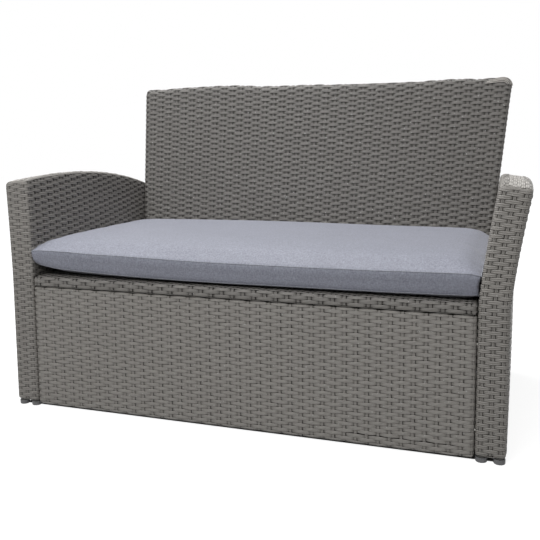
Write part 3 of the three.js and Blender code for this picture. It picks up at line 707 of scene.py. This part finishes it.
def seat_cushion(material, seam_material):
    """The loose cushion, its cover blown up a little by cloth pressure. What comes
    back is its skin, for the zip to lie on"""
    bm = bmesh.new()
    bmesh.ops.create_cube(bm, size=2)
    bmesh.ops.subdivide_edges(bm, edges=bm.edges, cuts=47, use_grid_fill=True)
    raw = np.array([v.co for v in bm.verts])
    for vert, place in zip(bm.verts, metres(*cushion_place(*raw.T))):
        vert.co = place
    bmesh.ops.recalc_face_normals(bm, faces=bm.faces)
    cushion = placed("cushion", written(bm, bpy.data.meshes.new("cushion")))

    def settle():
        graph = bpy.context.evaluated_depsgraph_get()
        return bpy.data.meshes.new_from_object(cushion.evaluated_get(graph))

    remesh = cushion.modifiers.new("even faces", "REMESH")
    remesh.mode = "VOXEL"
    remesh.voxel_size = CUSHION_FACE
    even = settle()
    # The upper front edge is round, most of all at the left
    bm = opened(even)
    for reach in FRONT_EDGE_REACH:
        edge = [v for v in bm.verts if v.co.x < reach and v.co.z > FRONT_EDGE_LOW * mm
                and v.co.y < FRONT_PLANE + (CUSHION_FRONT + FRONT_EDGE_DEEP) * mm]
        bmesh.ops.smooth_vert(bm, verts=edge, factor=0.5, use_axis_x=False, use_axis_y=True,
                              use_axis_z=True)
    written(bm, even)
    cushion.modifiers.remove(remesh)
    cushion.data = even

    # Lines where the cover is sewn, which pressure hardly moves
    turn = np.linspace(-1, 1, 160)[:-1]
    ones = np.ones_like(turn)
    u = np.concatenate([turn, ones, -turn, -ones])
    v = np.concatenate([-ones, turn, ones, -turn])
    seams = [metres(*cushion_place(u, v, np.full_like(u, w))) for w in (1.0, -1.0)]
    before = points_of(even)
    tree = KDTree(2 * len(u))
    for i, place in enumerate(np.vstack(seams)):
        tree.insert(Vector(place), i)
    tree.balance()
    near = np.array([tree.find(Vector(co))[2] for co in before])

    after = before
    cloth = cushion.modifiers.new("swell", "CLOTH")
    for key, value in SWELL.items():
        setattr(cloth.settings, key, value)
    cloth.settings.effector_weights.gravity = 0
    cloth.collision_settings.use_collision = False
    scene = bpy.context.scene
    for number in range(1, SWELL_FRAMES + 1):
        scene.frame_set(number)
    after = points_of(settle())
    cushion.modifiers.remove(cloth)
    scene.frame_set(1)
    move = after - before
    far = np.linalg.norm(move, axis=1)
    cap = (SEAM_MOVE + FREE_MOVE * (1 - np.exp(-(near / SEAM_HOLD) ** 1.5))) * mm
    move *= (np.minimum(far, cap) / np.maximum(far, 1e-9))[:, None]
    place = before + move
    # It rests flat on the seat and lies against the arms and the back
    place[:, 2] = np.maximum(place[:, 2], (CUSHION_FLOOR + SEAT_PLAY) * mm)
    place[:, 1] = np.minimum(place[:, 1], (BACK_PLACE - BACK_PLAY) * mm + FRONT_PLANE)
    deep, high = place[:, 1] / mm - FRONT_PLANE / mm, place[:, 2] / mm
    wall = SEAT_HALF - ARM_PLAY + arm_lean(deep, high)
    # In front it follows the round edge of the arm
    past = deep - ARM_SWEEP * soft(high) + 1.5
    inside = np.clip(past, 0, WRAP_RADIUS)
    edge = WRAP_RADIUS - np.sqrt(inside * (2 * WRAP_RADIUS - inside))
    wall = wall + np.where(past < 0.5, 14.0, edge)
    place[:, 0] = np.clip(place[:, 0], -wall * mm, wall * mm)
    even.vertices.foreach_set("co", place.ravel())
    even.polygons.foreach_set("use_smooth", np.ones(len(even.polygons), dtype=bool))
    even.materials.clear()
    even.materials.append(material)
    even.update()
    finer = cushion.modifiers.new("finer faces", "SUBSURF")
    finer.levels = finer.render_levels = 1

    surface = BVHTree.FromPolygons([Vector(p) for p in place],
                                   [tuple(f.vertices) for f in even.polygons])
    pieces = [cushion]
    for name, seam in zip(("upper_seam", "lower_seam"), seams):
        path = []
        for spot in seam:
            spot, normal, _, _ = surface.find_nearest(Vector(spot))
            path.append(spot + normal * 0.25 * mm)
        pieces.append(tube(f"cushion_{name}", path, SEAM_RADIUS * mm, seam_material))
    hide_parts("cushion_cover", "cushion_foam")
    for piece in pieces:
        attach(piece, "cushion")
    return surface


ZIP_HALF, ZIP_HEIGHT = 308.0, 370.3         # half its length, and its middle above the floor
TAPE_HALF, TAPE_THICK = 6.8, 0.5
COIL_START, COIL_PITCH, COIL_TURNS = -299, 3.0, 200
SLIDER_PLACE = 286.0


def block(bm, middle, size):
    """A box about its middle, which is in metres, its size in millimetres"""
    turn = Matrix.Translation(Vector(middle)) @ Matrix.Diagonal((*(s * mm for s in size), 1))
    bmesh.ops.create_cube(bm, size=1, matrix=turn)


def finish_block(name, bm, material):
    """The object of a bmesh whose faces stay flat"""
    bmesh.ops.recalc_face_normals(bm, faces=bm.faces)
    mesh = written(bm, bpy.data.meshes.new(name))
    mesh.materials.append(material)
    return placed(name, mesh)


def zip_closure(surface, tape_material, coil_material, metal):
    """Zip along the cushion's rear: its tape, two rows of coil and a slider"""
    middle, columns, rows = ZIP_HEIGHT, 89, 5

    def skin(x):
        """How far back the cushion's rear face lies"""
        spot = surface.ray_cast(Vector((x * mm, 0.4, middle * mm)), Vector((0, -1, 0)))[0]
        return spot.y if spot else (CUSHION_REAR + 2) * mm + FRONT_PLANE

    bm, step, row = grid(columns, rows)
    along = np.linspace(ZIP_HALF, -ZIP_HALF, columns)
    back = np.array([skin(x) for x in along])
    up = np.linspace(-TAPE_HALF, TAPE_HALF, rows)[row]
    points = np.stack([along[step] * mm, back[step] + TAPE_THICK * mm, (middle + up) * mm], -1)
    uv = np.stack([along[step] * mm, up * mm], -1)
    tape = finish_mesh("cushion_zip_tape", bm, points, uv, tape_material)
    bm = opened(tape.data)
    bmesh.ops.solidify(bm, geom=bm.faces, thickness=TAPE_THICK * mm)
    bmesh.ops.recalc_face_normals(bm, faces=bm.faces)
    written(bm, tape.data)

    bm = bmesh.new()
    for i in range(COIL_TURNS):
        x = COIL_START + i * COIL_PITCH
        y = np.interp(-x, -along, back)
        for side in (-1, 1):
            block(bm, ((x + side * 0.75) * mm, y + 0.9 * mm, (middle + side) * mm),
                  (1.1, 1.0, 2.8))
    coil = finish_block("cushion_zip_coil", bm, coil_material)

    # The slider's body, the bridge on it and the pull that hangs from the bridge
    bm, x = bmesh.new(), SLIDER_PLACE
    y = float(np.interp(-x, -along, back))
    for aside, out, down, size in ((0, 1.4, 0, (9, 1.8, 7.2)), (0, 2.5, 0, (4, 0.8, 2.2)),
                                   (9, 2.4, 1.5, (20, 0.8, 5.4))):
        block(bm, ((x - aside) * mm, y + out * mm, (middle - down) * mm), size)
    bmesh.ops.bevel(bm, geom=bm.edges, offset=0.35 * mm, offset_type="OFFSET", segments=2,
                    profile=0.5, affect="EDGES", material=-1)
    slider = finish_block("cushion_zip_slider", bm, metal)
    for piece in (tape, coil, slider):
        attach(piece, "cushion")
        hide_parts("cushion_zip")


def camera():
    """The camera, turned and shifted as the sizes above say"""
    fwd = Vector((-sin(YAW) * cos(PITCH), cos(YAW) * cos(PITCH), -sin(PITCH)))
    level = Vector((cos(YAW), sin(YAW), 0))
    above = level.cross(fwd)
    right = level * cos(ROLL) + above * sin(ROLL)
    up = above * cos(ROLL) - level * sin(ROLL)
    data = bpy.data.cameras.new("camera")
    data.sensor_width = 36
    data.lens = data.sensor_width * FOCAL_PIXELS / FRAME_PIXELS
    data.shift_x = (FRAME_PIXELS / 2 - PRINCIPAL[0]) / FRAME_PIXELS
    data.shift_y = (PRINCIPAL[1] - FRAME_PIXELS / 2) / FRAME_PIXELS
    data.clip_start = 0.01
    seen = placed("camera", data)
    turn = Matrix((right, up, -fwd)).transposed().to_4x4()
    turn.translation = Vector(CAMERA_AT)
    seen.matrix_world = turn
    bpy.context.scene.camera = seen


def linear(colour):
    """A colour as the eye reads it, 0 to 255, for the shader"""
    def one(v):
        v /= 255
        return v / 12.92 if v <= 0.04045 else ((v + 0.055) / 1.055) ** 2.4
    return tuple(one(v) for v in colour)


class Nodes:
    """A material's nodes, or the surround's, made and linked by short calls"""

    def __init__(self, name, surround=False):
        self.made = (bpy.data.worlds if surround else bpy.data.materials).new(name)
        self.made.use_nodes = True
        self.tree = self.made.node_tree
        self.shader = self.tree.nodes["Background" if surround else "Principled BSDF"]

    def add(self, kind, **settings):
        node = self.tree.nodes.new(kind)
        for key, value in settings.items():
            if hasattr(node, key):
                setattr(node, key, value)
            else:
                node.inputs[key.replace("_", " ").title()].default_value = value
        return node

    def put(self, value, socket):
        """A number, a colour or another node's output goes into a socket"""
        if isinstance(value, (int, float)):
            socket.default_value = value
        elif isinstance(value, tuple):
            socket.default_value = (*linear(value), 1)
        else:
            self.tree.links.new(value, socket)

    def math(self, operation, *values):
        node = self.add("ShaderNodeMath", operation=operation)
        for value, socket in zip(values, node.inputs):
            self.put(value, socket)
        return node.outputs[0]

    def times(self, a, b):
        return self.math("MULTIPLY", a, b)

    def blend(self, share, a, b):
        node = self.add("ShaderNodeMix", data_type="RGBA")
        for value, socket in ((share, node.inputs[0]), (a, node.inputs[6]), (b, node.inputs[7])):
            self.put(value, socket)
        return node.outputs[2]

    def pair(self, x, y):
        node = self.add("ShaderNodeCombineXYZ")
        self.put(x, node.inputs[0])
        self.put(y, node.inputs[1])
        return node.outputs[0]

    def noise(self, scale, detail, vector=None):
        """A cloudy pattern over the object, or over a vector that is given"""
        node = self.add("ShaderNodeTexNoise", scale=scale, detail=detail)
        if vector is None:
            vector = self.add("ShaderNodeTexCoord").outputs["Object"]
        self.put(vector, node.inputs["Vector"])
        return node.outputs["Fac"]

    def bump(self, height, strength, distance):
        node = self.add("ShaderNodeBump", strength=strength, distance=distance)
        self.put(height, node.inputs["Height"])
        return node.outputs[0]

    def seen(self):
        """1 for rays that show a thing, straight or by gloss or glass, otherwise 0"""
        path = self.add("ShaderNodeLightPath").outputs
        first = self.math("MAXIMUM", path["Is Camera Ray"], path["Is Glossy Ray"])
        return self.math("MAXIMUM", first, path["Is Transmission Ray"])

    def finish(self, colour, rough, specular=0.5, normal=None):
        """The material, with what its shader takes in"""
        for key, value in (("Base Color", colour), ("Roughness", rough),
                           ("Specular IOR Level", specular), ("Normal", normal)):
            if value is not None:
                self.put(value, self.shader.inputs[key])
        return self.made


# Colours of a strand where its shade is dark and pale, and along its streaks
STRAND_DARK, STRAND_PALE, STRAND_STREAK = (156, 152, 147), (178, 174, 168), (172, 168, 162)
# Colours of a painted glint, and of the shade painted into the weave's deep places
STRAND_PAINTED_GLINT, STRAND_PAINTED_SHADE = (212, 212, 210), (44, 41, 37)


def strand_finish(name, ridges, painted_groove_shade, painted_light_level=1.0, rough=0.4):
    """Flat plastic strand: soft ridges along it, and each length its own shade"""
    n = Nodes(name)

    # The whole strand's colours are scaled by this level: painted lighter or darker for the light
    # where the strand is used
    def in_painted_light(colour):
        return tuple(v * painted_light_level for v in colour)

    split = n.add("ShaderNodeSeparateXYZ")
    n.put(n.add("ShaderNodeUVMap", uv_map="strand").outputs[0], split.inputs[0])
    along, across = split.outputs[0], split.outputs[1]
    wave = n.math("SINE", n.times(n.math("FRACT", across), ridges * pi))
    ridge = n.math("POWER", n.math("ABSOLUTE", wave), 0.75)
    shade = n.noise(1.0, 3.0, n.pair(n.times(along, 6), n.times(n.math("FLOOR", across), 7.31)))
    streak = n.noise(1.0, 4.0, n.pair(n.times(along, 90), n.times(across, 24)))
    colour = n.blend(shade, in_painted_light(STRAND_DARK), in_painted_light(STRAND_PALE))
    # The furrows between its ridges are painted darker, as their shade
    colour = n.blend(n.times(n.math("SUBTRACT", 1.0, ridge), 0.9), colour, painted_groove_shade)
    colour = n.blend(n.times(streak, 0.22), colour, in_painted_light(STRAND_STREAK))
    # Painted glints as small bright specks, and shade painted into the weave's deep places
    painted_glint = n.math("GREATER_THAN", n.noise(260.0, 1.0), 0.735)
    colour = n.blend(n.times(painted_glint, 0.7), colour, STRAND_PAINTED_GLINT)
    painted_shade = n.add("ShaderNodeAttribute", attribute_name="painted_shade").outputs["Fac"]
    colour = n.blend(n.times(painted_shade, 0.85), colour, STRAND_PAINTED_SHADE)
    polish = n.math("ADD", rough, n.times(streak, 0.16))
    height = n.math("ADD", ridge, n.times(streak, 0.35))
    return n.finish(colour, polish, normal=n.bump(height, 0.9, 0.0007))


def shade_sheet_finish():
    """The dark inner sheet, painted as the shade inside the weave"""
    n = Nodes("inner sheet painted as shade")
    return n.finish(n.blend(n.noise(140.0, 2.0), (38, 35, 31), (52, 48, 43)), 0.9, 0.1)


def linen(name, dark, light, glint):
    """Heathered woven fabric: slubs both ways, each thread its own shade"""
    n = Nodes(name)
    place = n.add("ShaderNodeTexCoord").outputs["Object"]

    def noise(detail, *scale):
        turn = n.add("ShaderNodeMapping")
        turn.inputs["Scale"].default_value = scale
        n.put(place, turn.inputs["Vector"])
        return n.noise(1.0, detail, turn.outputs[0])

    weft, warp = noise(3.0, 110, 1100, 1100), noise(3.0, 1100, 110, 110)
    mottle, cloud = noise(3.0, 280, 280, 280), noise(2.0, 14, 14, 14)
    threads = n.times(n.math("ADD", weft, warp), 0.5)
    both = n.math("ADD", n.times(threads, 0.6), n.times(mottle, 0.4))
    share = n.math("MULTIPLY_ADD", n.math("SUBTRACT", both, 0.5), 4.2, 0.5)
    ramp = n.add("ShaderNodeClamp")
    cloudy = n.times(n.math("SUBTRACT", cloud, 0.5), 0.25)
    n.put(n.math("ADD", share, cloudy), ramp.inputs["Value"])
    colour = n.blend(ramp.outputs[0], dark, light)
    # Sparse painted glints on the threads
    painted_glints = n.math("GREATER_THAN", n.math("ADD", warp, n.times(mottle, 0.5)), 0.97)
    colour = n.blend(n.times(painted_glints, 0.5), colour, glint)
    n.put(0.25, n.shader.inputs["Sheen Weight"])
    n.put(0.45, n.shader.inputs["Sheen Roughness"])
    return n.finish(colour, 0.62, normal=n.bump(both, 0.5, 0.0006))


def powder_coat():
    """Satin coat of the hidden tubes"""
    n = Nodes("powder coated tube")
    colour = n.blend(n.noise(9.0, 3.0), (62, 61, 58), (82, 80, 76))
    return n.finish(colour, 0.5, normal=n.bump(n.noise(900.0, 2.0), 0.3, 0.0003))


def zinc_plate():
    """Cloudy plating of bolts and the zip's slider"""
    n = Nodes("zinc plate")
    cloud = n.noise(260.0, 4.0)
    n.put(1.0, n.shader.inputs["Metallic"])
    return n.finish(n.blend(cloud, (165, 164, 160), (205, 203, 196)),
                    n.math("ADD", 0.28, n.times(cloud, 0.2)))


def cap_plastic(name, dark, light):
    """Moulded plastic with a fine grain"""
    n = Nodes(name)
    colour = n.blend(n.noise(45.0, 4.0), dark, light)
    return n.finish(colour, 0.6, normal=n.bump(n.noise(700.0, 2.0), 0.25, 0.0003))


AMBIENT = 0.11              # light from the whole surround
FLOOR_HALF = 9.0
FLOOR_SHADE = 0.38          # how pale the floor is to the lamps, apart from its own glow
FOOTPRINT = (0.575, 0.345)  # half width and half depth of the sofa on the floor, in metres
BETWEEN_ARMS = 0.5
# The soft lamps: where each hangs, where it aims, its size in metres and its watts
LAMPS = {"lamp above": ((-0.7, 0.35, 3.0), (0, 0.05, 0.4), (2.0, 1.6), 59),
         "lamp in front": ((-0.3, -3.0, 2.8), (0, -0.2, 0.3), (1.8, 1.4), 58)}


def floor_finish():
    """Pale floor that glows towards the camera, and not under the sofa, so that no light
    shows through its joints and the floor lies dark there as a painted shadow"""
    n = Nodes("pale floor")
    n.shader.inputs["Base Color"].default_value = (FLOOR_SHADE, FLOOR_SHADE, FLOOR_SHADE, 1)
    place = n.add("ShaderNodeTexCoord").outputs["Object"]
    away = n.add("ShaderNodeVectorMath", operation="LENGTH")
    n.put(place, away.inputs[0])
    fade = n.add("ShaderNodeMapRange", from_min=0.9, from_max=2.2, to_min=0.9, to_max=1.0)
    n.put(away.outputs["Value"], fade.inputs["Value"])
    split = n.add("ShaderNodeSeparateXYZ")
    n.put(place, split.inputs[0])
    beside, deep = n.math("ABSOLUTE", split.outputs[0]), split.outputs[1]
    # Between the arms the glow comes back little by little towards the rear, so that the painted
    # shadow fades out
    behind = n.add("ShaderNodeMapRange", interpolation_type="SMOOTHSTEP", from_min=-0.1,
                   from_max=0.36)
    n.put(deep, behind.inputs["Value"])
    rear = n.times(behind.outputs[0], n.math("LESS_THAN", beside, BETWEEN_ARMS))
    clear = n.math("MAXIMUM", rear, n.math("GREATER_THAN", deep, FOOTPRINT[1]))
    clear = n.math("MAXIMUM", clear, n.math("LESS_THAN", deep, -FOOTPRINT[1]))
    clear = n.math("MAXIMUM", clear, n.math("GREATER_THAN", beside, FOOTPRINT[0]))
    glow = n.add("ShaderNodeEmission")
    n.put(n.times(n.times(n.seen(), fade.outputs[0]), clear), glow.inputs["Strength"])
    both = n.add("ShaderNodeAddShader")
    n.put(n.shader.outputs[0], both.inputs[0])
    n.put(glow.outputs[0], both.inputs[1])
    n.put(both.outputs[0], n.tree.nodes["Material Output"].inputs["Surface"])
    return n.finish(None, 0.9, 0.1)


def stage():
    """Floor, white surround and soft lamps"""
    bm = bmesh.new()
    bmesh.ops.create_grid(bm, x_segments=1, y_segments=1, size=FLOOR_HALF)
    floor = placed("floor", written(bm, bpy.data.meshes.new("floor")))
    floor.data.materials.append(floor_finish())

    n = Nodes("surround", surround=True)
    bpy.context.scene.world = n.made
    level = n.add("ShaderNodeMapRange", to_min=AMBIENT, to_max=1.0)
    n.put(n.seen(), level.inputs["Value"])
    n.put(level.outputs[0], n.shader.inputs["Strength"])
    n.shader.inputs["Color"].default_value = (1, 1, 1, 1)

    for name, (place, aim, size, watts) in LAMPS.items():
        data = bpy.data.lights.new(name, "AREA")
        data.shape = "RECTANGLE"
        data.size, data.size_y = size
        data.energy = watts
        lamp = placed(name, data)
        lamp.location = place
        lamp.rotation_euler = (Vector(aim) - Vector(place)).to_track_quat("-Z", "Y").to_euler()


camera()
bpy.context.scene.view_settings.view_transform = "Standard"
stage()

inner = shade_sheet_finish()
# Copies of one strand, each painted lighter or darker for the light where it is used: a little
# lighter on the front panel, paler on the arms' tops and the back's corner, darker on the back
pair = (strand_finish("woven strand", 3, (84, 81, 77), 1.06), inner)
back_pair = (strand_finish("strand of the back painted darker", 3, (68, 65, 61), 0.8), inner)
arm_pair = (strand_finish("strand of the arms", 2, (60, 55, 50), 0.98), inner)
top_pair = (strand_finish("strand on top painted paler", 2, (120, 116, 110), 1.22, 0.3), inner)

back_ring = Ring(PANEL_HALF, BACK_THICK, WRAP_RADIUS, 40, 1)
front_ring = Ring(PANEL_HALF - SLIMMER, FRONT_THICK, 6.5, 42, 1)
arm_ring = Ring(ARM_THICK / 2, ARM_DEPTH, WRAP_RADIUS, 3, 24, 20.2)


# The back's top edge isn't quite straight: how much higher it stands, by place across
BACK_WAVE = ((-509, 0), (-465, 3), (-380, 5), (-338, 6), (-255, 6), (-215, 3.4), (-175, 0.3),
             (-135, 0), (19, 0), (57, -3), (94, -1), (131, -5.4), (167, -5.5), (203, -2.3),
             (239, -4.8), (274, -1.4), (309, -2.4), (343, 0), (411, 2.2), (445, 2.2), (478, 0),
             (543, 2))
BACK_CORNER_LEFT, BACK_CORNER_RIGHT = 12.0, 22.0
BACK_TUBE = 11.0            # radius of the tube inside
BACK_DIPS = 480.0           # how far out its dips lie
BACK_WAVE_FROM = 690.0      # height from which the rows follow the wave
# Strands bound round the right corner: how many, how far apart, their radius, and
# how many points each has along the top and round the corner
WRAP_COUNT, WRAP_PITCH, WRAP_THICK = 4, 4.1, 1.5
WRAP_STRAIGHT, WRAP_ROUND = 8, 14


def back_rim(a, z):
    """How much the back's outline moves at a place across: its wave and corners"""
    share = eased(np.clip((z - BACK_WAVE_FROM) / (BACK_TOP - BACK_WAVE_FROM), 0, 1))
    corner = np.where(a < 0, BACK_CORNER_LEFT, BACK_CORNER_RIGHT)
    half = PANEL_HALF + spread_at(BACK_TOP)
    past = np.clip((np.abs(a) - half + corner) / corner, 0, 0.985)
    drop = corner * (1 - np.sqrt(1 - past ** 2))
    near = np.clip((z - BACK_TOP + 4 * corner) / (4 * corner), 0, 1)
    return np.interp(a, *zip(*BACK_WAVE)) * share - drop * near ** 1.5


def back_warp(a, b, z):
    """A point of the back's skin. Where its top edge dips, it lies tight on the tube"""
    a = a * (1 + spread_at(z) / PANEL_HALF)
    axis = BACK_TOP - BACK_THICK / 2
    rise = z + back_rim(a, z) - axis
    deep = b + recline_at(z) - recline_at(axis)
    reach = np.hypot(deep, rise)
    least = BACK_TUBE + 0.4 + 0.25 * np.clip(np.hypot(b, z - axis) - BACK_TUBE, 0, 5)
    tight = (rise > 0) & (reach < least) & (np.abs(a) < BACK_DIPS)
    grow = np.where(tight, least / np.maximum(reach, 0.1), 1.0)
    return (a, BACK_PLACE + recline_at(axis) + BACK_THICK / 2 + deep * grow,
            axis + rise * grow)


def corner_wrap(material):
    """Strands bound round the back's right upper corner"""
    half, corner = PANEL_HALF + spread_at(BACK_TOP), BACK_CORNER_RIGHT + 3
    centre = half - corner, BACK_TOP - corner
    r = BACK_THICK / 2
    for k in range(WRAP_COUNT):
        inset = 0.4 + WRAP_PITCH * k
        angle = np.radians(np.linspace(90, 2 + 5 * k, WRAP_ROUND))
        run = np.linspace(34 + 5 * k, 4, WRAP_STRAIGHT)
        x = np.append(centre[0] - run, centre[0] + (corner - inset) * np.cos(angle))
        z = np.append(np.full(WRAP_STRAIGHT, BACK_TOP - inset),
                      centre[1] + (corner - inset) * np.sin(angle))
        # Each one comes up out of the weave at its start
        sunk = np.append(np.linspace(2.5, 0, WRAP_STRAIGHT), np.zeros(WRAP_ROUND))
        z = z + np.interp(x, *zip(*BACK_WAVE)) - sunk
        deep = -np.sqrt(max(0, r * r - (r - inset) ** 2))
        y = BACK_PLACE + recline_at(z) + r + deep - 0.5
        piece = tube(f"back_corner_strand_{k + 1}", metres(x, y, z), WRAP_THICK * mm,
                     material, False, (0, 1, 0))
        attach(piece, "sofa")
        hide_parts("back_weave")


def front_warp(a, b, z):
    """A point of the front panel's skin, which stands upright"""
    return a, FRONT_FACE + FRONT_THICK / 2 + b, z


rng = np.random.default_rng(7)
ring_panel("back", "back_weave", back_ring,
           Profile(ARM_HEM, BACK_TOP, BACK_THICK / 2, 0, BACK_THICK / 2),
           back_warp, rng, 3, back_pair, pitch=8.05, dive=LOOSE, kind=LOOSE_UPRIGHT)
corner_wrap(top_pair[0])
ring_panel("front_panel", "front_panel_weave", front_ring,
           Profile(FRONT_HEM, FRONT_TOP - 0.6, 6, FRONT_THICK / 2 - 6, 4.5),
           front_warp, rng, 1, pair, pitch=7.87, split=(4, 34.0, 43.6))
for side, flip in (("right", False), ("left", True)):
    arm_skin(f"{side}_arm", f"{side}_arm_weave", arm_ring, rng, arm_pair, flip)
    arm_top_strip(f"{side}_arm_top", f"{side}_arm_weave", rng, top_pair, flip)
    arm_binding(f"{side}_arm_binding", f"{side}_arm_weave", arm_ring, arm_pair[0], flip)
# The seat's strand is painted darker, for the shade it lies in
seat_strip(rng, (strand_finish("strand of the seat painted darker", 3, (60, 56, 51), 0.9, 0.34), inner))

fabric = linen("blue grey linen", (132, 134, 147), (170, 173, 187), (196, 198, 210))
seam_thread = linen("linen seam", (128, 131, 140), (160, 163, 173), (180, 182, 190))
cushion_skin = seat_cushion(fabric, seam_thread)
zinc = zinc_plate()
zip_closure(cushion_skin, linen("zip tape", (48, 49, 56), (64, 65, 74), (76, 77, 86)),
            cap_plastic("nylon coil", (40, 40, 46), (60, 61, 68)), zinc)

plain = {"frame_steel": powder_coat(), "zinc": zinc,
         "foot_cap": cap_plastic("moulded foot plastic", (108, 108, 110), (142, 142, 144))}
for part in frame["record"]["subparts"]:
    finish = plain.get(part["material_slot"])
    if finish:
        node = frame["nodes"][part["node"]]
        node.data.materials.clear()
        node.data.materials.append(finish)
